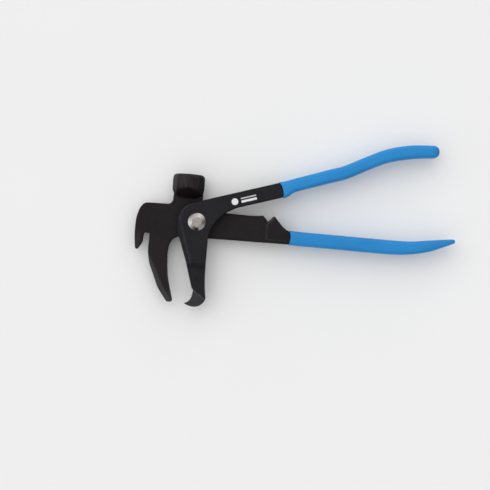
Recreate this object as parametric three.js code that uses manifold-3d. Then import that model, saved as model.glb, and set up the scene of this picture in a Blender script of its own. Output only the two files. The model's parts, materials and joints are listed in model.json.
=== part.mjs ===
// Wheel-weight pliers: a riveted pair of forged steel arms with dip-coated handles.
//
// The hammer arm carries the striking head, the pry hook, the fixed jaw and the cutting notch. The claw arm
// crosses it at the pivot rivet and carries the hooked jaw. At the pivot each arm is half as thick as the
// joint, the hammer arm behind and the claw arm in front; jaws and handles return to the middle plane.
//
// Millimetres. Arms are drawn about the pivot: X along the hammer arm's straight edge towards the handles,
// Y towards the striking face, Z along the rivet towards its head. z = 0 is the plane where the arms meet.
// At the end the whole tool is set down on z = 0 with its outline centred over the origin.

import * as THREE from "three";
import { mergeVertices } from "three/addons/utils/BufferGeometryUtils.js";
import Module from "manifold-3d";

const wasm = await Module();
wasm.setup();

// Driving dimensions.
const LAP_THICKNESS = 7.5; // of one arm at the pivot, from the meeting plane to its outer face
const LAP_GAP = 0.15; // each arm stays this far from the meeting plane
const CLAW_JAW = { front: 5.6, back: -4 }; // faces of the claw arm's jaw
const FIXED_JAW_TIP = { front: 2.2, back: -5.4 }; // the hammer arm's jaw rises gently to meet it
const HANDLE_HALF = 5.8; // half the thickness of both bare handles
const BOSS_RADIUS = 15.2; // round eye of the claw arm
const BACK_EDGE = -12; // the hammer arm's long straight edge
const LEVER_ANGLE = THREE.MathUtils.degToRad(17.4); // the claw arm's handle, above the X axis
const LEVER_WIDTH = 11.5;

const HEAD_RADIUS = 12.45; // across the corners of the eight-sided striking head
const HEAD_AXIS_X = -8.85;
const HEAD_FACE_Y = 36.6;
const HEAD_ROUNDING = 3.4; // of the edge round the striking face
const HEAD_NECK = { y: 24.2, radius: 12.2, drop: 6.4 }; // the head closes in to the neck below this

const RIVET_RADIUS = 5;
const RIVET_BORE = 5.3;
const RIVET_HEAD = { radius: 6.9, flat: 4, height: 2.6 };
const RIVET_TAIL = { radius: 6.6, flat: 4.4, height: 1.9 };
const RIVET_SEAT = 0.2; // clearance under each end of the rivet

const RAMP_START = 28; // towards the handles both arms thicken from here, to the full handle at
const RAMP_END = 54.6; // a low step on the hammer arm

const COAT = 0.9; // dip coating
const COAT_GAP = 0.3; // between coating and steel
const MOUTH_RADIUS = 13; // the coating ends in an arc
const LOWER_MOUTH = { x: 73.3, y: -6.9 }; // crown of that arc on the hammer arm
const UPPER_MOUTH = { u: 70.8, v: 9.25 }; // the same on the claw arm, along and across the lever

const SQUARENESS = 4; // of a handle's section: 2 is an ellipse, more is squarer
const SECTION_SIDES = 20;

const FAR = 400; // larger than the tool, for half-spaces
const DEEP = 20; // further than any piece reaches above or below z = 0
const UP = new THREE.Vector3(0, 0, 1);

// A closed surface as a solid that can be cut and joined, and back again.
function solid(geometry) {
  const bare = geometry.clone();
  for (const name of Object.keys(bare.attributes)) if (name !== "position") bare.deleteAttribute(name);
  const merged = mergeVertices(bare, 1e-4);
  const made = new wasm.Mesh({
    numProp: 3,
    vertProperties: merged.attributes.position.array,
    triVerts: new Uint32Array(merged.index.array),
  });
  return new wasm.Manifold(made);
}

function geometryOf(body) {
  const mesh = body.getMesh();
  const geometry = new THREE.BufferGeometry();
  geometry.setAttribute("position", new THREE.BufferAttribute(Float32Array.from(mesh.vertProperties), 3));
  geometry.setIndex(new THREE.BufferAttribute(Uint32Array.from(mesh.triVerts), 1));
  const faceted = geometry.toNonIndexed();
  faceted.computeVertexNormals();
  return faceted;
}

// A flat outline raised from z = low to z = high.
function slab(shape, low, high, curveSegments = 10) {
  const raised = new THREE.ExtrudeGeometry(shape, { depth: high - low, bevelEnabled: false, curveSegments });
  return solid(raised.translate(0, 0, low));
}

// A side profile carried from one point of the plan to another: profile x lies to the left of the way
// walked, profile y is height.
function carried(profile, from, to) {
  const way = new THREE.Vector3(to[0] - from[0], to[1] - from[1], 0);
  const length = way.length();
  way.normalize();
  const left = new THREE.Vector3(-way.y, way.x, 0);
  const prism = new THREE.ExtrudeGeometry(profile, { depth: length, bevelEnabled: false });
  const place = new THREE.Matrix4().makeBasis(left, UP, way).setPosition(from[0], from[1], 0);
  return solid(prism.applyMatrix4(place));
}

function polygon(points) {
  return new THREE.Shape(points.map(([x, y]) => new THREE.Vector2(x, y)));
}

const wedge = (z, drop, reach = 8) => [[0, z], [-reach, z - drop * reach], [-reach, z + 2], [0, z + 2]];

// Takes the corner off along a straight line of the plan, walked with the kept material on the left: the
// cut falls away to the right of the line from the face at height z, by `drop` for each millimetre.
function bevelled(body, from, to, z, drop, reach) {
  return body.subtract(carried(polygon(wedge(z, drop, reach)), from, to));
}

// The same cut on the back face, at height z, and on both faces.
function bevelledBehind(body, from, to, z, drop, reach) {
  const mirrored = wedge(-z, drop, reach).map(([x, height]) => [x, -height]);
  return body.subtract(carried(polygon(mirrored.reverse()), from, to));
}

function bevelledBothSides(body, from, to, z, drop, reach) {
  return bevelledBehind(bevelled(body, from, to, z, drop, reach), from, to, -z, drop, reach);
}

// A profile turned about the Y axis (striking head) or the Z axis (rivet).
function turned(points, segments, axis = "z") {
  const profile = points.map(([r, h]) => new THREE.Vector2(r, h));
  const lathe = new THREE.LatheGeometry(profile, segments);
  return axis === "y" ? lathe : lathe.rotateX(Math.PI / 2);
}

// A round post through everything, to cut bores and mouths with.
function post(radius, segments) {
  return solid(turned([[0, -DEEP], [radius, -DEEP], [radius, DEEP], [0, DEEP]], segments));
}

// Along and across the claw arm's lever, as a point of the plan.
function onLever(u, v) {
  const c = Math.cos(LEVER_ANGLE);
  const s = Math.sin(LEVER_ANGLE);
  return [u * c - v * s, u * s + v * c];
}

// A bar of soft rectangular section along a smooth line. Each station holds the centre of the section,
// half its width in the plan and half its thickness; `inset` is taken off all round. The last stretch is
// rounded off over `round` millimetres.
function bar(stations, { inset = 0, round }) {
  const steps = 30;
  const domeSteps = 6;
  const line = new THREE.SplineCurve(stations.map(([x, y]) => new THREE.Vector2(x, y)));
  const sizes = new THREE.SplineCurve(stations.map(([, , w, t]) => new THREE.Vector2(w, t)));
  const length = line.getLength();
  const flat = 1 - round / length;
  const places = [];
  for (let i = 0; i <= steps; i++) places.push((flat * i) / steps);
  for (let i = 1; i <= domeSteps; i++) {
    places.push(flat + (1 - flat) * Math.sin((i / domeSteps) * (Math.PI / 2) * 0.97));
  }
  const points = [];
  for (const place of places) {
    const t = line.getUtoTmapping(place);
    const centre = line.getPoint(t);
    const way = line.getTangent(t);
    const size = sizes.getPoint(t);
    const into = place > flat ? (place - flat) / (1 - flat) : 0;
    const dome = Math.sqrt(1 - into * into);
    for (let k = 0; k < SECTION_SIDES; k++) {
      const turn = ((k + 0.5) / SECTION_SIDES) * 2 * Math.PI;
      const across = soften(Math.cos(turn)) * (size.x - inset) * dome;
      const height = soften(Math.sin(turn)) * (size.y - inset) * dome;
      points.push(centre.x - way.y * across, centre.y + way.x * across, height);
    }
  }
  return solid(skin(points, places.length, SECTION_SIDES));
}

const soften = (value) => Math.sign(value) * Math.abs(value) ** (2 / SQUARENESS);

// Closes rings of points into one surface, with a flat fan over each end.
function skin(points, rings, sides) {
  const faces = [];
  for (let r = 0; r + 1 < rings; r++) {
    for (let k = 0; k < sides; k++) {
      const next = (k + 1) % sides;
      const [a, b, c, d] = [r * sides + k, r * sides + next, (r + 1) * sides + next, (r + 1) * sides + k];
      faces.push(a, b, c, a, c, d);
    }
  }
  const last = (rings - 1) * sides;
  for (let k = 1; k + 1 < sides; k++) {
    faces.push(0, k + 1, k);
    faces.push(last, last + k, last + k + 1);
  }
  const geometry = new THREE.BufferGeometry();
  geometry.setAttribute("position", new THREE.Float32BufferAttribute(points, 3));
  geometry.setIndex(faces);
  return geometry;
}

// Handle lines: x, y, half width, half thickness.
const LOWER_HANDLE = [
  [70, -6.85, 5.75, 6.9],
  [82, -7.2, 5.6, 6.9],
  [110, -7.6, 5.6, 6.9],
  [150, -8.15, 5.6, 6.9],
  [167, -7.4, 5.1, 6.8],
  [180, -5.2, 4.5, 6.5],
  [190, -2.6, 3.3, 6.2],
  [201.4, 0.5, 1.5, 5.8],
];

const UPPER_HANDLE = [
  [...onLever(66, 9.25), 6.6, 7],
  [...onLever(71.5, 9.35), 6.4, 7],
  [...onLever(77, 10.3), 5.35, 6.9],
  [...onLever(83, 10.75), 5.1, 6.9],
  [100, 43.2, 5.2, 6.9],
  [112, 47.2, 5.2, 6.9],
  [130, 56.2, 5.15, 6.9],
  [144, 62.5, 5.25, 6.8],
  [160, 66.55, 5.3, 6.6],
  [174, 68.1, 5, 6.3],
  [184.2, 68.6, 4.8, 6],
];

// Hammer arm, seen from the front, from the neck round the hook, the fixed jaw and the handle.
function hammerArmOutline() {
  const s = new THREE.Shape();
  s.moveTo(2.8, 24);
  s.lineTo(-20, 24);
  s.lineTo(-20, 17);
  s.absarc(-24.5, 17, 4.5, 0, -Math.PI / 2, true);
  s.lineTo(-39.5, 12.4);
  s.bezierCurveTo(-44.3, 12.5, -47.7, 5.4, -48.1, -4);
  s.bezierCurveTo(-48.4, -12, -48, -18, -47.3, -22.6);
  s.absarc(-45.9, -23, 1.4, Math.PI * 0.93, Math.PI * 1.75, false);
  s.lineTo(-42.3, -19.6);
  s.quadraticCurveTo(-41.7, -18.6, -41.6, -17.4);
  s.lineTo(-41.3, -12.3);
  s.quadraticCurveTo(-41.2, -11.2, -40.4, -11.2);
  s.lineTo(-37.3, -11.3);
  s.quadraticCurveTo(-36.5, -11.4, -36.5, -12.4);
  s.lineTo(-36.8, -23);
  s.bezierCurveTo(-36.7, -31, -32.8, -45.5, -28.4, -51.8);
  s.lineTo(-20.4, -62.4);
  s.quadraticCurveTo(-19.4, -63.7, -18.2, -63.7);
  s.lineTo(-16, -63.3);
  s.quadraticCurveTo(-15.1, -63.1, -15.2, -62);
  s.bezierCurveTo(-17.2, -54, -20.9, -44, -21.1, -33);
  s.bezierCurveTo(-22.2, -22, -21.6, -12.6, -11.5, BACK_EDGE);
  s.lineTo(LOWER_MOUTH.x - COAT_GAP - 1.1, BACK_EDGE);
  s.lineTo(LOWER_MOUTH.x - COAT_GAP, LOWER_MOUTH.y);
  s.lineTo(LOWER_MOUTH.x - COAT_GAP - 1.1, -1.8);
  s.lineTo(69.6, -0.9);
  s.quadraticCurveTo(67.4, 0.5, 66, 1.9);
  s.lineTo(60.3, 8.4);
  s.quadraticCurveTo(59.6, 9.2, 58.9, 8.6);
  s.lineTo(55.5, 4.6);
  s.lineTo(54.7, 4.6);
  s.lineTo(51, 8.8);
  s.quadraticCurveTo(46, 8, 38, 8.1);
  s.lineTo(20, 8.6);
  s.lineTo(9, 8.9);
  s.quadraticCurveTo(2.8, 9.2, 2.8, 16);
  return s;
}

// What the hammer arm's thickness does along its length: thin at the lap, full at the handle.
const HAMMER_ARM_SIDE = [
  [-60, -LAP_THICKNESS],
  [18, -LAP_THICKNESS],
  [62, -HANDLE_HALF],
  [80, -HANDLE_HALF],
  [80, HANDLE_HALF],
  [RAMP_END + 1, HANDLE_HALF],
  [RAMP_END - 0.4, HANDLE_HALF - 2.4],
  [RAMP_START, -LAP_GAP],
  [-60, -LAP_GAP],
];

// Down the fixed jaw, from the lap's layer to the tip. Profile x is Y of the plan.
const FIXED_JAW_SIDE = [
  [-10, -LAP_THICKNESS],
  [-10, -LAP_GAP],
  [-15, -LAP_GAP],
  [-60.5, FIXED_JAW_TIP.front],
  [-66, FIXED_JAW_TIP.front - 1.4],
  [-66, FIXED_JAW_TIP.back + 1.4],
  [-60.5, FIXED_JAW_TIP.back],
  [-26, -LAP_THICKNESS],
];

// A quarter turn of an ellipse, as profile points.
function quarter(centre, across, along, from, to, count) {
  const points = [];
  for (let i = 0; i <= count; i++) {
    const turn = from + ((to - from) * i) / count;
    points.push([centre[0] + across * Math.cos(turn), centre[1] + along * Math.sin(turn)]);
  }
  return points;
}

// Under the head, on the front and on the back, a slanted face leads down to the flat of the neck.
const UNDER_HEAD_FRONT = [[10, -LAP_GAP], [17.8, -LAP_GAP], [18.8, 0.8], [26.4, 13.1], [26.4, 20], [10, 20]];
const UNDER_HEAD_BACK = [[10, -LAP_THICKNESS], [21, -LAP_THICKNESS], [25.6, -13.1], [25.6, -20], [10, -20]];

function strikingHead() {
  const neck = quarter([0, HEAD_NECK.y], HEAD_NECK.radius, HEAD_NECK.drop, -Math.PI / 2, -0.12, 6);
  const corner = [HEAD_RADIUS - HEAD_ROUNDING, HEAD_FACE_Y - HEAD_ROUNDING];
  const rim = quarter(corner, HEAD_ROUNDING, HEAD_ROUNDING, 0, Math.PI / 2, 4);
  neck[0][0] = 0;
  const outline = [...neck, [HEAD_RADIUS, HEAD_NECK.y + 1], ...rim, [0, HEAD_FACE_Y]];
  const head = solid(turned(outline, 8, "y").translate(HEAD_AXIS_X, 0, 0));
  const front = carried(polygon(UNDER_HEAD_FRONT), [-40, 0], [20, 0]);
  const back = carried(polygon(UNDER_HEAD_BACK), [-40, 0], [20, 0]);
  return head.subtract(front).subtract(back);
}

function hammerArm() {
  const plan = slab(hammerArmOutline(), -DEEP, DEEP);
  const upper = carried(polygon(HAMMER_ARM_SIDE), [0, 30], [0, -26.2]);
  const jaw = carried(polygon(FIXED_JAW_SIDE), [-39, 0], [-10, 0]);
  let arm = plan.intersect(upper.add(jaw));

  // Pry hook, thinned towards its tip on both faces.
  const thinning = polygon([[-13, 0.5], [-26, 0.5], [-26, -2.9], [-13, -LAP_GAP]]);
  const behind = polygon([[-13, -LAP_THICKNESS], [-26, -5], [-26, -8.5], [-13, -8.5]]);
  for (const face of [thinning, behind]) arm = arm.subtract(carried(face, [-50, 0], [-41.2, 0]));

  // Outer flank of the fixed jaw, two planes on each face.
  for (const [from, to] of [[[-34.7, -24.6], [-21.5, -55]], [[-26.8, -45.1], [-14.5, -64.5]]]) {
    arm = bevelled(arm, from, to, FIXED_JAW_TIP.front, 0.8, 12);
    arm = bevelledBehind(arm, from, to, FIXED_JAW_TIP.back, 0.8, 12);
  }

  // Long edge of the bare handle, and the ground flank of the cutting tooth.
  arm = bevelledBothSides(arm, [RAMP_END - 5, BACK_EDGE + 2.3], [80, BACK_EDGE + 2.3], HANDLE_HALF, 1.1);
  arm = bevelled(arm, [60.6, 7.6], [55.4, 2], HANDLE_HALF, 1.6, 2.5);
  arm = bevelledBothSides(arm, [72, -2.6], [60.3, 7.2], HANDLE_HALF, 0.9, 3);

  return arm.add(tang(LOWER_HANDLE, 2)).add(strikingHead()).subtract(post(RIVET_BORE, 48));
}

// Claw arm, seen from the front, from the lever's mouth round the eye, down the jaw and round its hook.
function clawArmOutline() {
  const s = new THREE.Shape();
  const bottom = BOSS_RADIUS - LEVER_WIDTH;
  const end = UPPER_MOUTH.u - COAT_GAP;
  s.moveTo(...onLever(end, UPPER_MOUTH.v));
  s.lineTo(...onLever(end - 1.2, BOSS_RADIUS));
  s.absarc(0, 0, BOSS_RADIUS, LEVER_ANGLE + Math.PI / 2, Math.PI * 0.98, false);
  s.splineThru([
    [-14.9, -4.5],
    [-13.9, -9.5],
    [-10.3, -20],
    [-6.7, -30],
    [-3.8, -40],
    [-0.3, -51.6],
  ].map(([x, y]) => new THREE.Vector2(x, y)));
  s.lineTo(1, -52.8);
  s.bezierCurveTo(0.2, -57.5, 0.2, -62.4, -5.6, -63.8);
  s.bezierCurveTo(-1.6, -66, 3.6, -67.2, 7.6, -64);
  s.bezierCurveTo(10, -62, 11.4, -59.6, 10.6, -57.4);
  s.bezierCurveTo(9.6, -52, 8.9, -42, 9, -36);
  s.lineTo(9.2, -13);
  s.bezierCurveTo(9.9, -1.5, 18.5, 9.3, ...onLever(35, bottom));
  s.lineTo(...onLever(end - 1.2, bottom));
  return s;
}

// Thickness along the lever: the lap's layer in front at the eye, full at the handle.
const CLAW_ARM_SIDE = [
  [-40, LAP_GAP],
  [RAMP_START + 3, LAP_GAP],
  [RAMP_START + 11, -0.7],
  [RAMP_END + 5, -HANDLE_HALF],
  [90, -HANDLE_HALF],
  [90, HANDLE_HALF],
  [62, HANDLE_HALF],
  [18, LAP_THICKNESS],
  [-40, LAP_THICKNESS],
];

const CLAW_JAW_SIDE = [
  [-28.5, LAP_GAP],
  [-37, CLAW_JAW.back],
  [-70, CLAW_JAW.back],
  [-70, CLAW_JAW.front],
  [-36.2, CLAW_JAW.front],
  [-31.6, LAP_THICKNESS],
  [-28.5, LAP_THICKNESS],
];

function clawArm() {
  const plan = slab(clawArmOutline(), -DEEP, DEEP, 12);
  const side = carried(polygon(CLAW_ARM_SIDE), onLever(0, 60), onLever(0, -60));
  const aboveJaw = slab(polygon([[-60, -28.6], [FAR, -28.6], [FAR, FAR], [-60, FAR]]), -DEEP, DEEP);
  const jaw = carried(polygon(CLAW_JAW_SIDE), [-30, 0], [30, 0]);
  let arm = plan.intersect(side.intersect(aboveJaw).add(jaw));

  // Chamfer round the left of the eye, dying out at the lever, and down the jaw.
  const ring = [[13.2, LAP_THICKNESS], [19.2, LAP_THICKNESS - 4], [19.2, 9], [13.2, 9]];
  const eyeRing = solid(turned([...ring, ring[0]], 72).translate(0.3, 1.8, 0));
  const left = slab(polygon([[0.3, 1.8], [6, 40], [-30, 40], [-28.2, -7.4]]), -DEEP, DEEP);
  arm = arm.subtract(eyeRing.intersect(left));
  arm = bevelled(arm, [-12.25, -2.25], [-2.5, -32.4], LAP_THICKNESS, 0.74);

  // Hook, thinned towards its point from a ridge across the jaw.
  arm = bevelled(arm, [-1, -51], [12, -60.9], CLAW_JAW.front, 0.2, 20);
  arm = bevelledBehind(arm, [-1, -51], [12, -60.9], CLAW_JAW.back, 0.12, 20);

  return arm.add(tang(UPPER_HANDLE, 4.8)).subtract(post(RIVET_BORE, 48));
}

function rivet() {
  const front = LAP_THICKNESS + RIVET_SEAT;
  const back = -LAP_THICKNESS - RIVET_SEAT;
  return turned(
    [
      [0, back - RIVET_TAIL.height],
      [RIVET_TAIL.flat, back - RIVET_TAIL.height],
      [RIVET_TAIL.radius - 0.5, back - 0.9],
      [RIVET_TAIL.radius, back],
      [RIVET_RADIUS, back],
      [RIVET_RADIUS, front],
      [RIVET_HEAD.radius, front],
      [RIVET_HEAD.radius, front + 0.7],
      [RIVET_HEAD.flat, front + RIVET_HEAD.height],
      [0, front + RIVET_HEAD.height],
    ],
    48,
  );
}

// Everything that lies more than `back` millimetres before the end of a handle line.
function shortOf(stations, back) {
  const [endX, endY] = stations.at(-1);
  const [beforeX, beforeY] = stations.at(-2);
  const way = new THREE.Vector2(endX - beforeX, endY - beforeY).normalize();
  const wide = new THREE.BoxGeometry(FAR, 2 * FAR, 60);
  wide.translate(-FAR / 2 - back, 0, 0).rotateZ(way.angle()).translate(endX, endY, 0);
  return solid(wide);
}

// The steel inside a coating.
function tang(stations, round) {
  return bar(stations, { inset: COAT + COAT_GAP, round }).intersect(shortOf(stations, 1.7));
}

// A coating is the bar outside less the steel inside, cut back in an arc at its mouth.
function grip(stations, mouthCentre, round) {
  const hollow = bar(stations, { inset: COAT, round }).intersect(shortOf(stations, 1.3));
  const mouth = post(MOUTH_RADIUS, 90).translate(...mouthCentre, 0);
  return bar(stations, { round }).subtract(hollow).subtract(mouth);
}

const steel = (color) => new THREE.MeshStandardMaterial({ color, roughness: 0.55, metalness: 0.3 });
const BLACK_OXIDE = steel(0x29262a);
const BLACK_OXIDE_COOL = steel(0x25262c);
const BARE_STEEL = new THREE.MeshStandardMaterial({ color: 0xb5aeaa, roughness: 0.3, metalness: 0.95 });
const BLUE_VINYL = new THREE.MeshStandardMaterial({ color: 0x2b8ad2, roughness: 0.45, metalness: 0 });

function node(name, geometry, material) {
  const mesh = new THREE.Mesh(geometry, material);
  mesh.name = name;
  return mesh;
}

const lowerMouthCentre = [LOWER_MOUTH.x - MOUTH_RADIUS, LOWER_MOUTH.y];
const upperMouthCentre = onLever(UPPER_MOUTH.u - MOUTH_RADIUS, UPPER_MOUTH.v);

const tool = new THREE.Group();
tool.add(
  node("hammer_arm", geometryOf(hammerArm()), BLACK_OXIDE),
  node("claw_arm", geometryOf(clawArm()), BLACK_OXIDE_COOL),
  node("pivot_rivet", rivet(), BARE_STEEL),
  node("lower_grip", geometryOf(grip(LOWER_HANDLE, lowerMouthCentre, 2)), BLUE_VINYL),
  node("upper_grip", geometryOf(grip(UPPER_HANDLE, upperMouthCentre, 4.8)), BLUE_VINYL),
);

const box = new THREE.Box3().setFromObject(tool);
const middle = box.getCenter(new THREE.Vector3());
tool.position.set(-middle.x, -middle.y, -box.min.z);

export default tool;
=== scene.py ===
"""Wheel-weight hammer pliers lying on a pale table, lit softly from the upper left.

Lengths are in millimetres, and places are given from the pivot, unless a name or comment says otherwise.
"""

import json
import math

import bmesh
import bpy
import numpy as np
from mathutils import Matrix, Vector, noise

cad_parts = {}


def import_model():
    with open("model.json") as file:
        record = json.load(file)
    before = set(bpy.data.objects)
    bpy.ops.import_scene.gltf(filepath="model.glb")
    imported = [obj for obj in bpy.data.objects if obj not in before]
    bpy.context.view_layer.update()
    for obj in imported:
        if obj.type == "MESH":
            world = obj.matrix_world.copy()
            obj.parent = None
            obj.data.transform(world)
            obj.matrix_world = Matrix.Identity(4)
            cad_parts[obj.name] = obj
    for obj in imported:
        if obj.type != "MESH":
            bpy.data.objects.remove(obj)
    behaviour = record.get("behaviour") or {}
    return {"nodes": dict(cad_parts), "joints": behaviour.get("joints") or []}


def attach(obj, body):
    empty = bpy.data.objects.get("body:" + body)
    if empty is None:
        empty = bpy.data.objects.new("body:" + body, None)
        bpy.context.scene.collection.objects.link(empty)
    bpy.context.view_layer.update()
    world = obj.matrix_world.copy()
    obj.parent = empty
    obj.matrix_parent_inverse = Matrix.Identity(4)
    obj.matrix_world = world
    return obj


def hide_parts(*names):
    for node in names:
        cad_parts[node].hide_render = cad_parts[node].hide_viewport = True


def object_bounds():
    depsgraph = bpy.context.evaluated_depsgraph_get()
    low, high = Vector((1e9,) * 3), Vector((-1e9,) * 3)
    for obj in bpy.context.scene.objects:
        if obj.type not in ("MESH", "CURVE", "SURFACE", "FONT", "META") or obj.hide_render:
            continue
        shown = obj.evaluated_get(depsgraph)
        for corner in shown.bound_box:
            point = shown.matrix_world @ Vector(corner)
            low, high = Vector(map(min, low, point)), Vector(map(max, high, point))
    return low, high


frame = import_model()
CAD_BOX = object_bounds()

MM = 0.001
PIVOT = Vector(frame["joints"][0]["pos_m"])
LEVER_ANGLE = math.radians(17.4)  # from the X axis to the claw arm's lever
FULL_TURN = 2 * math.pi


def at(x, y, z=0.0):
    """A point given in millimetres from the pivot, in the row frame's metres."""
    return PIVOT + Vector((x, y, z)) * MM


def on_lever(u, v):
    """A point of the plan, given along and across the claw arm's lever."""
    c, s = math.cos(LEVER_ANGLE), math.sin(LEVER_ANGLE)
    return (u * c - v * s, u * s + v * c)


# ---------------------------------------------------------------- nodes of a material


class Nodes:
    """A small helper for building node trees: make nodes, join them, read the result."""

    def __init__(self, tree):
        self.tree = tree

    def node(self, kind, **settings):
        made = self.tree.nodes.new(kind)
        for key, value in settings.items():
            setattr(made, key, value)
        return made

    def put(self, value, socket):
        """Joins an output to an input, or sets the input's own value."""
        if isinstance(value, bpy.types.NodeSocket):
            self.tree.links.new(value, socket)
        else:
            socket.default_value = value

    def math(self, operation, a, b=0.0):
        made = self.node("ShaderNodeMath", operation=operation)
        self.put(a, made.inputs[0])
        self.put(b, made.inputs[1])
        return made.outputs[0]

    def times(self, a, b):
        return self.math("MULTIPLY", a, b)

    def split(self, vector):
        made = self.node("ShaderNodeSeparateXYZ")
        self.put(vector, made.inputs[0])
        return made.outputs

    def ramp(self, value, low, high, out_low=0.0, out_high=1.0):
        """Turns low to high into out_low to out_high, smoothly."""
        made = self.node("ShaderNodeMapRange", clamp=True, interpolation_type="SMOOTHSTEP")
        self.put(value, made.inputs["Value"])
        limits = {"From Min": low, "From Max": high, "To Min": out_low, "To Max": out_high}
        for name, number in limits.items():
            made.inputs[name].default_value = number
        return made.outputs["Result"]


class Shader(Nodes):
    """The nodes of one material."""

    def __init__(self, name):
        self.material = bpy.data.materials.new(name)
        self.material.use_nodes = True
        super().__init__(self.material.node_tree)
        self.bsdf = self.tree.nodes["Principled BSDF"]

    def place(self):
        return self.node("ShaderNodeTexCoord").outputs["Object"]

    def stretched(self, scale, offset=(0, 0, 0), turn=0.0):
        mapping = self.node("ShaderNodeMapping")
        self.put(self.place(), mapping.inputs["Vector"])
        mapping.inputs["Location"].default_value = offset
        mapping.inputs["Rotation"].default_value = (0, 0, turn)
        mapping.inputs["Scale"].default_value = scale
        return mapping.outputs["Vector"]

    def from_pivot(self):
        return self.stretched((1, 1, 1), offset=tuple(-PIVOT))

    def noise(self, size_mm, detail=3.0, rough=0.5, vector=None):
        made = self.node("ShaderNodeTexNoise")
        self.put(vector or self.place(), made.inputs["Vector"])
        made.inputs["Scale"].default_value = 1000.0 / size_mm
        made.inputs["Detail"].default_value = detail
        made.inputs["Roughness"].default_value = rough
        return made.outputs["Fac"]

    def mix(self, factor, a, b):
        made = self.node("ShaderNodeMix", data_type="RGBA")
        self.put(factor, made.inputs["Factor"])
        self.put(a, made.inputs["A"])
        self.put(b, made.inputs["B"])
        return made.outputs["Result"]

    def attribute(self, name):
        """A mask painted on the mesh, which reads as nought where a mesh has none of that name."""
        return self.node("ShaderNodeAttribute", attribute_name=name).outputs["Fac"]

    def bump(self, height, strength, distance_mm, under=None):
        made = self.node("ShaderNodeBump")
        self.put(height, made.inputs["Height"])
        made.inputs["Strength"].default_value = strength
        made.inputs["Distance"].default_value = distance_mm * MM
        if under is not None:
            self.put(under, made.inputs["Normal"])
        return made.outputs["Normal"]

    def finish(self, **sockets):
        for name, value in sockets.items():
            self.put(value, self.bsdf.inputs[name.replace("_", " ")])
        return self.material


def rgb(r, g, b):
    return (r, g, b, 1.0)


def grey(value):
    return rgb(value, value, value)


def tinted(colour, r, g, b):
    return rgb(r * colour[0], g * colour[1], b * colour[2])


def scaled(colour, factor):
    return tinted(colour, factor, factor, factor)


# ---------------------------------------------------------------- materials

# Black oxide: its darkest and lightest colour and its specular level, on the hammer arm and the claw arm.
WARM = (rgb(0.0044, 0.0022, 0.0031), rgb(0.0076, 0.0044, 0.0058), 0.18)
COOL = (rgb(0.0035, 0.0034, 0.0055), rgb(0.0062, 0.0060, 0.0092), 0.2)
BARE = rgb(0.037, 0.0352, 0.0385)  # where the oxide was ground thin
TURNED = scaled(BARE, 0.62)
# Lighter colour along ridges and edges: partly wear, partly painted highlight.
WEAR_AND_HIGHLIGHT = scaled(BARE, 2.3)
# Painted shade: darkens corners, edges and the plate round and under the parts that stand above it.
PAINTED_SHADE = grey(0.001)
PAINTED_SHADE_STRENGTH = 0.75
COARSE_ROUGHNESS = 0.36  # added where a face was cut coarsely
GRIND_ANGLE = math.radians(38)

# White ink on the lever: a disc and two bars, placed along and across the lever from the pivot.
INK = grey(0.72)
INK_ROUGHNESS = 0.1  # added by the ink
INK_EDGE = 0.12
DISC_CENTRE, DISC_RADIUS = (32.2, 8.6), 2.6
BARS_ALONG = (37.2, 49.3)
THICK_BAR, THIN_BAR = (6.5, 8.3), (9.4, 10.4)
THIN_BAR_STRENGTH = 0.7
PRINTED_HEIGHT = (4, 5)  # the ink comes in between these, so only the front has it

RIVET_DULL = rgb(0.250, 0.212, 0.201), rgb(0.345, 0.304, 0.288)
RIVET_POLISHED = rgb(0.35, 0.338, 0.324), rgb(0.48, 0.467, 0.450)
# Painted shade at the rivet head's lower edge, and the roughness it is given there.
RIVET_LOWER_SHADE = rgb(0.03, 0.026, 0.022)
LOWER_SHADE_ROUGHNESS = 0.6
DULL_RADIUS = (3.5, 4.1)  # the dull centre fades out between these
TOOL_RINGS = 0.34  # from one tool ring to the next
# Where the painted shade lies at the head's lower edge, from the pivot.
LOWER_SHADE_HALF_WIDTH = (1.1, 2.2)
LOWER_SHADE_TOP = (-5.2, -4.2)

VINYL = rgb(0.006, 0.214, 0.530), rgb(0.009, 0.241, 0.583)
VINYL_SCUFF, SCUFF_STRENGTH = rgb(0.12, 0.36, 0.68), 0.12
VINYL_END_SHADE, END_SHADE_STRENGTH = rgb(0.002, 0.055, 0.22), 0.85  # painted shade round the closed end
VINYL_DEPTH = 2.5  # that light goes into it


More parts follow.
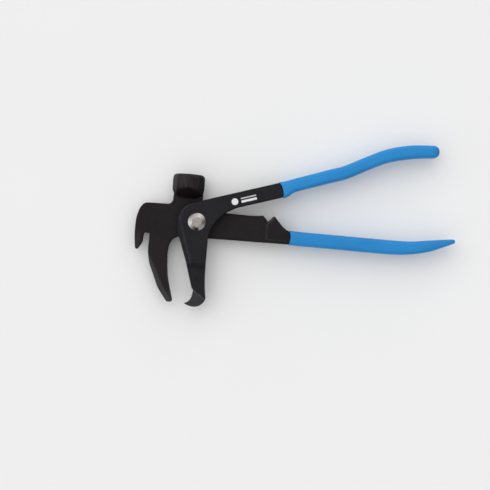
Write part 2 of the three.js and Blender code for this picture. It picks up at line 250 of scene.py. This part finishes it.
def blackened_steel(name, dark, light, shine, printed=None):
    """Black oxide over forging scale: mottled, bare where it was ground or turned, lighter along lines of
    wear and painted highlight, darker under painted shade. `printed` gives the ink that lies on it."""
    s = Shader(name)
    mottle = s.noise(size_mm=26, detail=4, rough=0.6)
    tint = s.ramp(s.noise(size_mm=7, detail=3, rough=0.6), 0.45, 0.7)
    scale_marks = s.noise(size_mm=2.6, detail=5, rough=0.62)
    speck = s.ramp(scale_marks, 0.58, 0.74)
    colour = s.mix(s.ramp(mottle, 0.35, 0.68), dark, light)
    colour = s.mix(s.times(tint, 0.5), colour, tinted(light, 1.25, 0.85, 1.1))
    colour = s.mix(s.times(speck, 0.35), colour, scaled(light, 1.9))

    turning = s.noise(size_mm=0.9, detail=3, rough=0.6, vector=s.stretched((1.0, 0.07, 1.0)))
    turned = s.times(s.attribute("turned"), s.ramp(turning, 0.3, 0.75))
    colour = s.mix(turned, colour, TURNED)
    # Wear and painted highlight lighten the lines painted on the mesh.
    rubbing = s.noise(size_mm=1.5, detail=4, rough=0.6)
    wear_and_highlight = s.times(s.attribute("wear_and_highlight"), s.ramp(rubbing, 0.3, 0.6))
    colour = s.mix(wear_and_highlight, colour, WEAR_AND_HIGHLIGHT)
    grind = s.noise(size_mm=1.0, detail=2, rough=0.5, vector=s.stretched((0.16, 1.0, 1.0), turn=GRIND_ANGLE))
    ground = s.times(s.attribute("ground"), s.ramp(grind, 0.2, 0.75, 0.6, 1.0))
    colour = s.mix(ground, colour, BARE)
    # Painted shade darkens the colour where the mesh is painted with it.
    colour = s.mix(s.times(s.attribute("painted_shade"), PAINTED_SHADE_STRENGTH), colour, PAINTED_SHADE)

    roughness = s.ramp(scale_marks, 0.3, 0.7, 0.5, 0.62)
    roughness = s.math("ADD", roughness, s.times(s.attribute("coarse"), COARSE_ROUGHNESS))
    if printed is not None:
        ink = printed(s)
        colour = s.mix(ink, colour, INK)
        roughness = s.math("ADD", roughness, s.times(ink, INK_ROUGHNESS))

    normal = s.bump(s.noise(size_mm=9), strength=0.3, distance_mm=0.12)
    normal = s.bump(scale_marks, strength=0.35, distance_mm=0.05, under=normal)
    ground_marks = s.times(grind, s.attribute("ground"))
    normal = s.bump(ground_marks, strength=0.25, distance_mm=0.03, under=normal)
    turned_marks = s.times(turning, s.attribute("turned"))
    normal = s.bump(turned_marks, strength=0.3, distance_mm=0.05, under=normal)
    s.bsdf.inputs["Specular IOR Level"].default_value = shine
    return s.finish(Base_Color=colour, Roughness=roughness, Normal=normal)


def printed_bars(s):
    """A plain disc and two plain bars of white ink on the front of the lever."""
    rotate = s.node("ShaderNodeVectorRotate", rotation_type="Z_AXIS")
    s.put(s.from_pivot(), rotate.inputs["Vector"])
    rotate.inputs["Angle"].default_value = -LEVER_ANGLE
    along, across, height = s.split(rotate.outputs[0])

    def band(value, low, high):
        up = s.ramp(value, (low - INK_EDGE) * MM, (low + INK_EDGE) * MM)
        down = s.ramp(value, (high - INK_EDGE) * MM, (high + INK_EDGE) * MM, 1.0, 0.0)
        return s.times(up, down)

    def square_from(value, centre):
        return s.math("POWER", s.math("SUBTRACT", value, centre * MM), 2)

    squares = [square_from(v, c) for v, c in zip((along, across), DISC_CENTRE)]
    disc = band(s.math("SQRT", s.math("ADD", *squares)), -1, DISC_RADIUS)
    thick_bar = s.times(band(along, *BARS_ALONG), band(across, *THICK_BAR))
    thin_bar = s.times(band(along, *BARS_ALONG), band(across, *THIN_BAR))
    ink = s.math("MAXIMUM", s.math("MAXIMUM", thick_bar, disc), s.times(thin_bar, THIN_BAR_STRENGTH))
    front = s.ramp(height, *[limit * MM for limit in PRINTED_HEIGHT])
    left_on = s.ramp(s.noise(size_mm=1.1, detail=4, rough=0.6), 0.26, 0.42)
    return s.times(s.times(ink, front), left_on)


def turned_steel():
    """A machined rivet: dull pinkish centre with tool rings, a polished chamfer, painted shade at its lower
    edge.
    """
    s = Shader("turned_steel")

    def fading_out(value, low, high):
        return s.ramp(value, low * MM, high * MM, 1.0, 0.0)

    x, y, _ = s.split(s.from_pivot())
    radius = s.math("SQRT", s.math("ADD", s.math("POWER", x, 2), s.math("POWER", y, 2)))
    centre = fading_out(radius, *DULL_RADIUS)
    smudge = s.ramp(s.noise(size_mm=2.6, detail=4, rough=0.6), 0.35, 0.7)
    colour = s.mix(centre, s.mix(smudge, *RIVET_POLISHED), s.mix(smudge, *RIVET_DULL))
    roughness = s.ramp(centre, 0.0, 1.0, 0.16, 0.36)

    # Painted shade at the head's lower edge, made rougher there too.
    lower_shade_area = s.times(fading_out(s.math("ABSOLUTE", x), *LOWER_SHADE_HALF_WIDTH), fading_out(y, *LOWER_SHADE_TOP))
    lower_shade = s.times(lower_shade_area, s.ramp(s.noise(size_mm=1.1), 0.2, 0.5))
    colour = s.mix(lower_shade, colour, RIVET_LOWER_SHADE)
    roughness = s.math("MAXIMUM", roughness, s.times(lower_shade, LOWER_SHADE_ROUGHNESS))

    rings = s.math("SINE", s.times(radius, FULL_TURN / (TOOL_RINGS * MM)))
    patchy = s.ramp(s.noise(size_mm=1.6), 0.25, 0.6)
    normal = s.bump(s.times(rings, patchy), strength=0.2, distance_mm=0.02)
    s.bsdf.inputs["Metallic"].default_value = 1.0
    return s.finish(Base_Color=colour, Roughness=roughness, Normal=normal)


def dipped_vinyl():
    """Blue plastisol: smooth, a soft sheen, faint flow along the handle, a few scuffs and painted shade at
    the closed end.
    """
    s = Shader("dipped_vinyl")
    flow = s.noise(size_mm=14, detail=3, rough=0.5, vector=s.stretched((0.3, 1.0, 1.0)))
    scuff = s.ramp(s.noise(size_mm=5, detail=5, rough=0.65), 0.62, 0.78)
    colour = s.mix(s.ramp(flow, 0.3, 0.7), *VINYL)
    colour = s.mix(s.times(scuff, SCUFF_STRENGTH), colour, VINYL_SCUFF)
    # Painted shade towards the closed end.
    colour = s.mix(s.times(s.attribute("end_shade"), END_SHADE_STRENGTH), colour, VINYL_END_SHADE)
    roughness = s.ramp(s.noise(size_mm=2.2, detail=4), 0.3, 0.7, 0.36, 0.46)
    normal = s.bump(flow, strength=0.25, distance_mm=0.15)
    normal = s.bump(s.noise(size_mm=0.55, detail=2), strength=0.12, distance_mm=0.02, under=normal)
    s.bsdf.inputs["Specular IOR Level"].default_value = 0.3
    s.bsdf.inputs["Subsurface Weight"].default_value = 0.4
    s.bsdf.inputs["Subsurface Scale"].default_value = VINYL_DEPTH * MM
    s.bsdf.inputs["Subsurface Radius"].default_value = (0.3, 0.7, 1.0)
    return s.finish(Base_Color=colour, Roughness=roughness, Normal=normal)


# ---------------------------------------------------------------- meshes and fields


def linked(name, mesh):
    piece = bpy.data.objects.new(name, mesh)
    bpy.context.scene.collection.objects.link(piece)
    return piece


def made_mesh(name, bm):
    mesh = bpy.data.meshes.new(name)
    bm.to_mesh(mesh)
    bm.free()
    return mesh


def rows(items, field):
    """A vector of each vertex or normal, one to a row."""
    flat = np.empty(len(items) * 3, np.float32)
    items.foreach_get(field, flat)
    return flat.reshape(-1, 3).astype(float)


def paint(mesh, label, values):
    """Gives each vertex a number that a material can read."""
    values = np.clip(values, 0, 1).astype(np.float32)
    mesh.attributes.new(label, "FLOAT", "POINT").data.foreach_set("value", values)


def grain(points, size_mm, seed):
    """Soft noise at each point, from -1 to 1."""
    scale = 1.0 / (size_mm * MM)
    shift = Vector((seed, 2.0 * seed, 3.0 * seed))
    return np.array([noise.noise(Vector(p) * scale + shift) for p in points])


def grains(points, layers):
    """Layers of soft noise, each of a height, a size and a seed, added up."""
    return sum(height * grain(points, size_mm, seed) for height, size_mm, seed in layers)


def step(value, low, high):
    """Nought up to `low`, one from `high`, smooth between."""
    t = np.clip((value - low) / (high - low), 0, 1)
    return t * t * (3 - 2 * t)


def fade(value, low, high):
    """One up to `low`, nought from `high`, smooth between."""
    return 1 - step(value, low, high)


def side_of(local, a, b):
    """Millimetres to the left of the line from a to b, in plan."""
    way = np.array([b[0] - a[0], b[1] - a[1]], float)
    way /= np.linalg.norm(way)
    return (local[:, 1] - a[1]) * way[0] - (local[:, 0] - a[0]) * way[1]


def near(distance, width):
    """One at no distance, fading over the given width."""
    return np.exp(-((distance / width) ** 2))


def near_line(local, points, width):
    """One on a broken line of the plan, fading over the given width on either side."""
    closest = np.full(len(local), np.inf)
    for a, b in zip(points, points[1:]):
        way = np.subtract(b, a)
        share = np.clip(((local[:, :2] - a) @ way) / (way @ way), 0, 1)
        apart = np.linalg.norm(local[:, :2] - a - share[:, None] * way, axis=1)
        closest = np.minimum(closest, apart)
    return near(closest, width)


def facing(out):
    """One on faces that look forward, nought on side walls."""
    return step(out[:, 2], 0.25, 0.6)


# ---------------------------------------------------------------- forged arms

HAMMER_VOXEL, CLAW_VOXEL = 0.5, 0.45
EDGE_ROUNDS = 5  # of smoothing, which take the sharpness off the edges
SOFT_ROUNDS = 16  # more, for the directions that the skin is moved in
FLASH_HEIGHT, FLASH_WIDTH = 0.16, 0.55
SKIN_GRAIN = [(0.035, 2.4, 3.0), (0.05, 9.0, 7.0)]  # height, size and seed
LAP_DEPTH = 3.8  # from the tool's middle plane to the middle of an arm where the arms lap
JAW_RISE = 2.3  # of the fixed jaw's middle at its point
# Stretches of an arm along which its middle changes height.
HANDLE_BLEND, NECK_BLEND, JAW_BLEND = (28, 56), (14, 20), (-60, -17)
LEVER_BLEND, CLAW_BLEND = (32, 60), (-37, -29)
SAME_POINT_M = 1e-6


def closed_copy(node):
    """The CAD node's surface as one closed mesh."""
    bm = bmesh.new()
    bm.from_mesh(frame["nodes"][node].data)
    bmesh.ops.remove_doubles(bm, verts=bm.verts, dist=SAME_POINT_M)
    return made_mesh(node + "_copy", bm)


def smoothed(piece, rounds):
    """The mesh of a piece with its modifiers applied, after this much more smoothing."""
    modifier = piece.modifiers.new("smooth", "SMOOTH")
    modifier.factor = 0.5
    modifier.iterations = rounds
    depsgraph = bpy.context.evaluated_depsgraph_get()
    return bpy.data.meshes.new_from_object(piece.evaluated_get(depsgraph))


def forged(node, name, body, voxel_mm, mid_plane, masks):
    """A forging: rounded edges, a trimmed flash line round its middle and a faintly uneven skin."""
    piece = linked(name, closed_copy(node))
    remesh = piece.modifiers.new("remesh", "REMESH")
    remesh.mode = "VOXEL"
    remesh.voxel_size = voxel_mm * MM
    skin = smoothed(piece, EDGE_ROUNDS)
    softened = smoothed(piece, SOFT_ROUNDS)
    piece.modifiers.clear()
    co, out = rows(skin.vertices, "co"), rows(softened.vertex_normals, "vector")
    local = (co - np.array(PIVOT)) / MM
    level = near(local[:, 2] - mid_plane(local), FLASH_WIDTH)
    side_wall = np.clip(1 - 1.6 * np.abs(out[:, 2]), 0, 1)
    raised = FLASH_HEIGHT * level * side_wall + grains(co, SKIN_GRAIN)
    co += out * (raised * MM)[:, None]
    skin.vertices.foreach_set("co", co.astype(np.float32).ravel())
    for label, values in masks(local, out).items():
        paint(skin, label, values)
    skin.polygons.foreach_set("use_smooth", np.ones(len(skin.polygons), bool))
    skin.update()
    piece.data = skin
    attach(piece, body)
    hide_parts(node)
    return piece


def hammer_mid_plane(local):
    """Height of the middle of the hammer arm, where its flash line runs."""
    x, y = local[:, 0], local[:, 1]
    lap = -LAP_DEPTH * fade(x, *HANDLE_BLEND)
    jaw = JAW_RISE * fade(y, *JAW_BLEND)
    return (lap + jaw) * fade(y, *NECK_BLEND)


def claw_mid_plane(local):
    """Height of the middle of the claw arm, where its flash line runs."""
    x, y = local[:, 0], local[:, 1]
    along = x * math.cos(LEVER_ANGLE) + y * math.sin(LEVER_ANGLE)
    return LAP_DEPTH * fade(along, *LEVER_BLEND) * step(y, *CLAW_BLEND)


# Lines of the hammer arm, in plan.
FLANK_RIDGE = [(-34.2, -30.6), (-28.5, -40.7), (-24.3, -50.2), (-19.8, -58.6), (-16.2, -61.6)]
LOWER_BEVEL = [(55.5, -9.7), (72, -9.7)]
HANDLE_STEP = [(54.7, -9), (54.7, 4.4)]
TOOTH_CREST = [(55.4, 4.8), (58.6, 8.4)]
TOOTH_FLANK = [(54.2, 3.4), (59.0, 8.6)]
HANDLE_TOP = [(20, 8.6), (38, 8.1), (50.6, 8.6)]
CLAW_EYE = (0.3, 1.0)  # middle of the claw arm's round eye, which shades the hammer arm round it


def hammer_masks(local, out):
    """Ground: the cutting tooth, the outer flank and tip of the fixed jaw, and the pry hook's beak.
    Turned: the striking head, held back on its right as painted shade, where it is also coarser. Wear and
    painted highlight: ridges and steps. Painted shade: the top edge, below the lower bevel, round the claw
    arm's eye, at the jaw's root and at the neck."""
    x, y = local[:, 0], local[:, 1]
    front, slope = facing(out), np.abs(out[:, 2])

    tooth = step(side_of(local, *TOOTH_FLANK), -1.9, -1.5)
    tooth *= step(x, 55, 55.4) * fade(x, 60.0, 60.4) * step(y, 2.4, 3)
    slanted = step(slope, 0.3, 0.6) * fade(slope, 0.88, 0.96)
    flank = slanted * fade(x, -16, -12) * fade(y, -33, -28)
    tip = front * fade(y, -62, -52)
    beak = front * fade(x, -45, -41) * fade(y, -17, -8)

    head = step(y, 25.5, 27) * fade(np.abs(out[:, 1]), 0.6, 0.9)
    # On the head's right the turned colour is held back as painted shade, and that side is also made rougher.
    right_side = step(out[:, 0], 0.35, 0.8)

    # Lighter lines along ridges, bevels, the handle's step and the tooth's crest: partly wear, partly painted
    # highlight.
    wear_and_highlight = 0.3 * near_line(local, FLANK_RIDGE, 0.5) * front
    wear_and_highlight += 0.4 * near_line(local, LOWER_BEVEL, 0.4) * front
    wear_and_highlight += 0.5 * near_line(local, HANDLE_STEP, 0.6)
    wear_and_highlight += 0.8 * near_line(local, TOOTH_CREST, 0.9)

    # Painted shade: round the claw arm's eye, at the jaw's root, at the neck under the head, along the top
    # edge and below the handle's lower bevel.
    from_eye = np.hypot(x - CLAW_EYE[0], y - CLAW_EYE[1])
    round_eye = step(from_eye, 14, 15) * fade(from_eye, 15.4, 22)
    jaw_root = step(y, -44, -34) * fade(y, -32, -29) * (1 - flank)
    neck = step(x, -14, -5) * step(y, 13, 17) * fade(y, 18, 20)
    painted_shade = near_line(local, HANDLE_TOP, 0.9) * step(y, 6, 7)
    painted_shade += step(x, 54, 56) * fade(y, -10.6, -10)
    painted_shade += (0.9 * round_eye + 0.4 * jaw_root + 0.7 * neck) * front
    return {
        "ground": 1.1 * tooth + 0.85 * flank + 0.55 * tip + 0.5 * beak,
        "turned": head * (1 - 0.8 * right_side),
        "wear_and_highlight": wear_and_highlight,
        "painted_shade": 0.8 * painted_shade,
        "coarse": right_side * step(y, 16, 20),
    }


# Lines of the claw arm, in plan.
CHAMFER_LINE = [(-12.25, -2.25), (-2.5, -32.4)]
HOOK_RIDGE = [(-0.6, -51.8), (11, -60.2)]
HOOK_INSIDE = [(0.6, -52.6), (0.2, -57.5), (-1.4, -60.6)]
EYE_BEVEL_CENTRE, EYE_BEVEL_RADIUS = (0.3, 1.8), 13.2


def claw_masks(local, out):
    """Ground: the hook beyond its ridge. Wear and painted highlight: that ridge, the hook's inside, the inner
    line of the long chamfer and the eye's bevel. Painted shade: the chamfer."""
    x, y = local[:, 0], local[:, 1]
    beyond = side_of(local, *reversed(HOOK_RIDGE))
    hook = step(beyond, 0.1, 0.8) * fade(y, -50, -48)

    from_middle = np.hypot(x - EYE_BEVEL_CENTRE[0], y - EYE_BEVEL_CENTRE[1])
    bevel = near(from_middle - EYE_BEVEL_RADIUS, 0.4) * fade(x, -8, -2) * step(y, -3, 0)
    # Lighter lines along the chamfer, the eye's bevel and the hook: partly wear, partly painted highlight.
    wear_and_highlight = 0.32 * near_line(local, CHAMFER_LINE, 0.4) + 0.22 * bevel
    wear_and_highlight += 0.9 * near_line(local, HOOK_RIDGE, 0.45) + 0.6 * near_line(local, HOOK_INSIDE, 0.6)

    # Painted shade on the long chamfer.
    aside = side_of(local, *CHAMFER_LINE)
    chamfer = step(aside, -3.2, -1.2) * fade(aside, -1.6, -0.6)
    chamfer *= step(y, -33, -31) * fade(y, -6, -2)
    return {"ground": 0.8 * hook, "wear_and_highlight": wear_and_highlight * facing(out), "painted_shade": 0.5 * chamfer}


# ---------------------------------------------------------------- handle coatings

# Handle lines: x, y, half width, half thickness, as the solids have them.
LOWER_HANDLE = [
    (70, -6.85, 5.75, 6.9),
    (82, -7.2, 5.6, 6.9),
    (110, -7.6, 5.6, 6.9),
    (150, -8.15, 5.6, 6.9),
    (167, -7.4, 5.1, 6.8),
    (180, -5.2, 4.5, 6.5),
    (190, -2.6, 3.3, 6.2),
    (201.4, 0.5, 1.5, 5.8),
]
UPPER_HANDLE = [
    (*on_lever(66, 9.25), 6.6, 7),
    (*on_lever(71.5, 9.35), 6.4, 7),
    (*on_lever(77, 10.3), 5.35, 6.9),
    (*on_lever(83, 10.75), 5.1, 6.9),
    (100, 43.2, 5.2, 6.9),
    (112, 47.2, 5.2, 6.9),
    (130, 56.2, 5.15, 6.9),
    (144, 62.5, 5.25, 6.8),
    (160, 66.55, 5.3, 6.6),
    (174, 68.1, 5, 6.3),
    (184.2, 68.6, 4.8, 6),
]
SQUARENESS = 4.0  # of a section, where 2 is an ellipse
MOUTH_RADIUS = 13.0  # of the upright arc that the mouth follows
LOWER_MOUTH_CENTRE = (60.3, -6.9)
UPPER_MOUTH_CENTRE = on_lever(70.8 - MOUTH_RADIUS, 9.25)
MOUTH_REACH = 16.0  # along the line, past every point of the mouth
LOWER_ROUNDING, UPPER_ROUNDING = 2.0, 4.8  # length of the rounding at the closed end
WALL = 0.9
LIP_ROUNDING, LIP_INSIDE = 0.42, 0.35  # how far the lip reaches along the outside and the inside
BORE_SHORT = 2.0  # from the bore's end to the rounding
DIP_GRAIN = [(0.05, 16.0, 11.0), (0.02, 3.5, 5.0)]  # height, size and seed

LINE_SAMPLES = 900
STRIDE = 0.2  # each way along the line, to find its direction
HALVINGS = 40
SIDES = 96
BORE_RINGS, LIP_RINGS, BODY_RINGS, END_RINGS = 40, 7, 230, 14
FIRST_OUTER_RING = BORE_RINGS + LIP_RINGS // 2 + 1  # the first past the lip's crown


def smooth_line(stations):
    """Evenly spaced samples of the Catmull-Rom line through the stations, and its length."""
    points = np.array(stations, float)
    count = len(points) - 1
    padded = np.vstack([2 * points[0] - points[1], points, 2 * points[-1] - points[-2]])
    t = np.linspace(0, count - 1e-9, LINE_SAMPLES)
    i = np.floor(t).astype(int)
    f = (t - i)[:, None]
    p0, p1, p2, p3 = padded[i], padded[i + 1], padded[i + 2], padded[i + 3]
    v1, v2 = (p2 - p0) / 2, (p3 - p1) / 2
    cubic, square = 2 * p1 - 2 * p2 + v1 + v2, -3 * p1 + 3 * p2 - 2 * v1 - v2
    line = cubic * f**3 + square * f**2 + v1 * f + p1
    strides = np.linalg.norm(np.diff(line[:, :2], axis=0), axis=1)
    walked = np.concatenate([[0], np.cumsum(strides)])
    even = np.linspace(0, walked[-1], LINE_SAMPLES)
    return np.stack([np.interp(even, walked, line[:, k]) for k in range(4)], 1), walked[-1]


def squared_off(value):
    return np.sign(value) * np.abs(value) ** (2 / SQUARENESS)


class Coating:
    """Points on the surface of a coated handle, by distance along it and turn round it."""

    def __init__(self, stations, rounding):
        self.line, self.length = smooth_line(stations)
        self.rounding = rounding
        self.body_end = self.length - rounding

    def sample(self, along):
        position = np.clip(along / self.length, 0, 1) * (len(self.line) - 1)
        row = np.arange(len(self.line))
        return [np.interp(position, row, self.line[:, k]) for k in range(4)]

    def point(self, along, turn, inset=0.0):
        x, y, half_width, half_height = self.sample(along)
        x2, y2, _, _ = self.sample(along + STRIDE)
        x1, y1, _, _ = self.sample(along - STRIDE)
        way = np.hypot(x2 - x1, y2 - y1)
        tx, ty = (x2 - x1) / way, (y2 - y1) / way
        into = np.clip((along - self.body_end) / self.rounding, 0, 1)
        dome = np.sqrt(np.maximum(1 - into**2, 0))
        across = squared_off(np.cos(turn)) * (half_width - inset) * dome
        height = squared_off(np.sin(turn)) * (half_height - inset) * dome
        return np.stack([x - ty * across, y + tx * across, height + 0 * along], -1)

    def mouth(self, turn, centre, inset):
        """How far along the surface starts, where it meets the upright arc of the mouth."""
        low, high = np.zeros_like(turn), np.full_like(turn, MOUTH_REACH)
        for _ in range(HALVINGS):
            middle = (low + high) / 2
            spot = self.point(middle, turn, inset)
            from_centre = np.hypot(spot[:, 0] - centre[0], spot[:, 1] - centre[1])
            outside = from_centre > MOUTH_RADIUS
            high = np.where(outside, middle, high)
            low = np.where(outside, low, middle)
        return (low + high) / 2


def coating_rings(shape, mouth_centre, into_end):
    """Rings of points from the bore's end to the mouth, round the lip and back along the outside."""
    turn = (np.arange(SIDES) + 0.5) / SIDES * FULL_TURN
    start = shape.mouth(turn, mouth_centre, 0.0)
    inner_start = shape.mouth(turn, mouth_centre, WALL)
    bore_start, bore_end = inner_start + LIP_INSIDE, shape.body_end - BORE_SHORT
    outer_start = start + LIP_ROUNDING
    rings = []
    for share in np.linspace(1, 0, BORE_RINGS):
        rings.append(shape.point(bore_start + share * (bore_end - bore_start), turn, WALL))
    for share in np.linspace(0, 1, LIP_RINGS):
        bend = share * math.pi
        inset = WALL * (0.5 + 0.5 * math.cos(bend))
        back = LIP_ROUNDING * (1 - math.sin(bend))
        rings.append(shape.point(inner_start + (start - inner_start) * share + back, turn, inset))
    for share in np.linspace(0.004, 1, BODY_RINGS):
        rings.append(shape.point(outer_start + share * (shape.body_end - outer_start), turn))
    for share in into_end:
        rings.append(shape.point(np.full(SIDES, shape.body_end + shape.rounding * share), turn))
    return rings


def dipped(rings):
    """The rings' points in one list, the outer ones sunk a little by the dip's unevenness."""
    points = np.concatenate(rings)
    centre = np.repeat(np.array([ring.mean(0) for ring in rings]), SIDES, 0)
    away = points - centre
    away /= np.maximum(np.linalg.norm(away, axis=1, keepdims=True), 1e-6)
    outer = np.repeat(np.arange(len(rings)) >= FIRST_OUTER_RING, SIDES)
    return points - away * (np.abs(grains(points * MM, DIP_GRAIN)) * outer)[:, None]


def ring_skin(name, points):
    """A smooth closed mesh over rings of points."""
    bm = bmesh.new()
    verts = [bm.verts.new(at(*p)) for p in points]
    rings = [verts[first : first + SIDES] for first in range(0, len(verts), SIDES)]
    for ring, after in zip(rings, rings[1:]):
        for k in range(SIDES):
            n = (k + 1) % SIDES
            bm.faces.new((ring[k], ring[n], after[n], after[k]))
    bm.faces.new(rings[0][::-1])
    bm.faces.new(rings[-1])
    bmesh.ops.recalc_face_normals(bm, faces=bm.faces)
    for face in bm.faces:
        face.smooth = True
    return made_mesh(name, bm)


def coated(node, name, body, stations, rounding, mouth_centre):
    """A dipped sleeve: rounded lip at the mouth, open inside round the tang, painted shade at the closed end.
    """
    into_end = np.sin(np.linspace(0.04, 0.985, END_RINGS) * math.pi / 2)
    rings = coating_rings(Coating(stations, rounding), mouth_centre, into_end)
    mesh = ring_skin(name, dipped(rings))
    # Painted shade over the rounding of the closed end.
    end_shade = np.concatenate([np.zeros(len(rings) - END_RINGS), step(into_end, 0.35, 0.9)])
    paint(mesh, "end_shade", np.repeat(end_shade, SIDES))
    piece = linked(name, mesh)
    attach(piece, body)
    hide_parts(node)
    return piece


# ---------------------------------------------------------------- rivet

FRONT, BACK = 7.7, -7.7  # heights of the arms' outer faces at the pivot
SEAT = 0.02
FLAT_RADIUS, HEAD_RADIUS, HEAD_HEIGHT = 3.7, 6.9, 2.6
FLAT_EDGE = 0.35  # rounding of the edge between the flat and the chamfer
SHANK_RADIUS = 5.0
SPIN_STEPS = 144
SHARP_ANGLE = math.radians(24)


def rivet_profile():
    """Radius and height, from the middle of the head, down the shank, to the middle of the tail."""
    top = FRONT + HEAD_HEIGHT
    profile = [(0, top), (1.2, top), (FLAT_RADIUS, top)]
    for a in np.linspace(0.2, 0.7, 4):
        profile.append((FLAT_RADIUS + FLAT_EDGE * math.sin(a), top - FLAT_EDGE * (1 - math.cos(a))))
    profile += [(5.2, FRONT + 1.72), (6.4, FRONT + 0.88), (6.66, FRONT + 0.68)]
    for a in np.linspace(0.35, 1.5, 4):
        profile.append((HEAD_RADIUS - 0.18 * (1 - math.sin(a)), FRONT + 0.35 + 0.25 * math.cos(a)))
    profile += [(HEAD_RADIUS, FRONT + 0.2), (6.82, FRONT + SEAT), (5.1, FRONT + SEAT)]
    profile += [(SHANK_RADIUS, FRONT - 0.1), (SHANK_RADIUS, BACK + 0.1)]
    profile += [(5.1, BACK - SEAT), (6.5, BACK - SEAT), (6.6, BACK - 0.3), (6.3, BACK - 0.8)]
    profile += [(5.5, BACK - 1.3), (4.4, BACK - 1.75), (3.0, BACK - 1.88), (0, BACK - 1.9)]
    return profile


def turned_rivet():
    """Turned rivet: polished chamfer round a flat centre, plain shank, low domed tail."""
    bm = bmesh.new()
    verts = [bm.verts.new(at(r, 0, z)) for r, z in rivet_profile()]
    edges = [bm.edges.new(pair) for pair in zip(verts, verts[1:])]
    bmesh.ops.spin(
        bm,
        geom=verts + edges,
        cent=PIVOT,
        axis=(0, 0, 1),
        angle=FULL_TURN,
        steps=SPIN_STEPS,
        use_merge=True,
    )
    bmesh.ops.remove_doubles(bm, verts=bm.verts, dist=SAME_POINT_M)
    bmesh.ops.recalc_face_normals(bm, faces=bm.faces)
    mesh = made_mesh("rivet", bm)
    for face in mesh.polygons:
        face.use_smooth = True
    mesh.set_sharp_from_angle(angle=SHARP_ANGLE)
    piece = linked("rivet", mesh)
    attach(piece, "hammer_side")
    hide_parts("pivot_rivet")
    return piece


# ---------------------------------------------------------------- stage, lights, camera

TABLE_HALF_M = 12.0
TABLE_COLOURS = grey(0.805), grey(0.825)

TO_KEY = Vector((-0.42, 0.48, 0.77))
KEY_STRENGTH = 0.85
KEY_SPREAD = math.radians(70)

TO_FILL = Vector((-0.50, 0.55, 0.67))
FILL_RANGE = (-0.45, 0.55, 0.40, 0.965)  # of the dot product with the direction above, and of the light
PANEL_COUNT = 3  # soft bright panels, evenly spaced round the horizon
PANEL_AZIMUTH = math.radians(70)  # of one of them
PANEL_DEPTH = 0.75  # how much brighter a panel is, and how much darker the gaps are
PANEL_TOP = (0.3, 0.6)  # the panels fade out between these heights
BACKDROP = 0.85

LENS, SENSOR = 85.0, 36.0
VIEW_CENTRE = (38.5, -15.0)
VIEW_WIDTH_M = 0.3822
VIEW_TURN = math.radians(4.4)
CLIP_M = (0.01, 50.0)


def stage():
    """A pale table under the tool."""
    bm = bmesh.new()
    signs = ((-1, -1), (1, -1), (1, 1), (-1, 1))
    height = CAD_BOX[0].z
    bm.faces.new([bm.verts.new((x * TABLE_HALF_M, y * TABLE_HALF_M, height)) for x, y in signs])
    mesh = made_mesh("table", bm)
    table = linked("table", mesh)
    s = Shader("pale_table")
    colour = s.mix(s.noise(size_mm=90, detail=2), *TABLE_COLOURS)
    s.bsdf.inputs["Specular IOR Level"].default_value = 0.1
    mesh.materials.append(s.finish(Base_Color=colour, Roughness=0.9))


def key_light():
    """A broad soft light from the upper left, far enough away to light the table evenly."""
    light = bpy.data.lights.new("key", "SUN")
    light.angle = KEY_SPREAD
    light.energy = KEY_STRENGTH
    lamp = linked("key", light)
    lamp.rotation_euler = TO_KEY.to_track_quat("Z", "Y").to_euler()


def world():
    """Soft light from every side, brightest from the upper left, with soft panels near the horizon."""
    made = bpy.data.worlds.new("studio")
    made.use_nodes = True
    bpy.context.scene.world = made
    n = Nodes(made.node_tree)
    direction = n.node("ShaderNodeTexCoord").outputs["Generated"]
    towards = n.node("ShaderNodeVectorMath", operation="DOT_PRODUCT")
    n.put(direction, towards.inputs[0])
    n.put(TO_FILL, towards.inputs[1])
    x, y, up = n.split(direction)
    azimuth = n.math("SUBTRACT", n.math("ARCTAN2", y, x), PANEL_AZIMUTH)
    panels = n.math("COSINE", n.times(azimuth, PANEL_COUNT))
    low_down = n.ramp(up, *PANEL_TOP, PANEL_DEPTH, 0.0)
    level = n.ramp(towards.outputs["Value"], *FILL_RANGE)
    level = n.times(level, n.math("ADD", 1.0, n.times(panels, low_down)))

    seen = n.node("ShaderNodeMix")
    n.put(n.node("ShaderNodeLightPath").outputs["Is Camera Ray"], seen.inputs["Factor"])
    n.put(level, seen.inputs["A"])
    n.put(BACKDROP, seen.inputs["B"])
    background = n.tree.nodes["Background"]
    background.inputs["Color"].default_value = grey(1)
    n.put(seen.outputs["Result"], background.inputs["Strength"])


def camera():
    """Straight above the tool, with a long lens."""
    made = bpy.data.cameras.new("camera")
    made.lens, made.sensor_width = LENS, SENSOR
    made.clip_start, made.clip_end = CLIP_M
    holder = linked("camera", made)
    holder.location = at(*VIEW_CENTRE) + Vector((0, 0, VIEW_WIDTH_M * LENS / SENSOR))
    holder.rotation_euler = (0, 0, VIEW_TURN)
    bpy.context.scene.camera = holder


# ---------------------------------------------------------------- the scene

hammer = forged(
    "hammer_arm", "forged_hammer_arm", "hammer_side", HAMMER_VOXEL, hammer_mid_plane, hammer_masks
)
claw = forged("claw_arm", "forged_claw_arm", "claw_side", CLAW_VOXEL, claw_mid_plane, claw_masks)
rivet = turned_rivet()
lower = coated(
    "lower_grip", "dipped_lower_grip", "hammer_side", LOWER_HANDLE, LOWER_ROUNDING, LOWER_MOUTH_CENTRE
)
upper = coated(
    "upper_grip", "dipped_upper_grip", "claw_side", UPPER_HANDLE, UPPER_ROUNDING, UPPER_MOUTH_CENTRE
)

hammer.data.materials.append(blackened_steel("black_oxide_warm", *WARM))
claw.data.materials.append(blackened_steel("black_oxide_cool", *COOL, printed_bars))
rivet.data.materials.append(turned_steel())
vinyl = dipped_vinyl()
lower.data.materials.append(vinyl)
upper.data.materials.append(vinyl)

stage()
world()
key_light()
camera()
bpy.context.scene.view_settings.view_transform = "Standard"
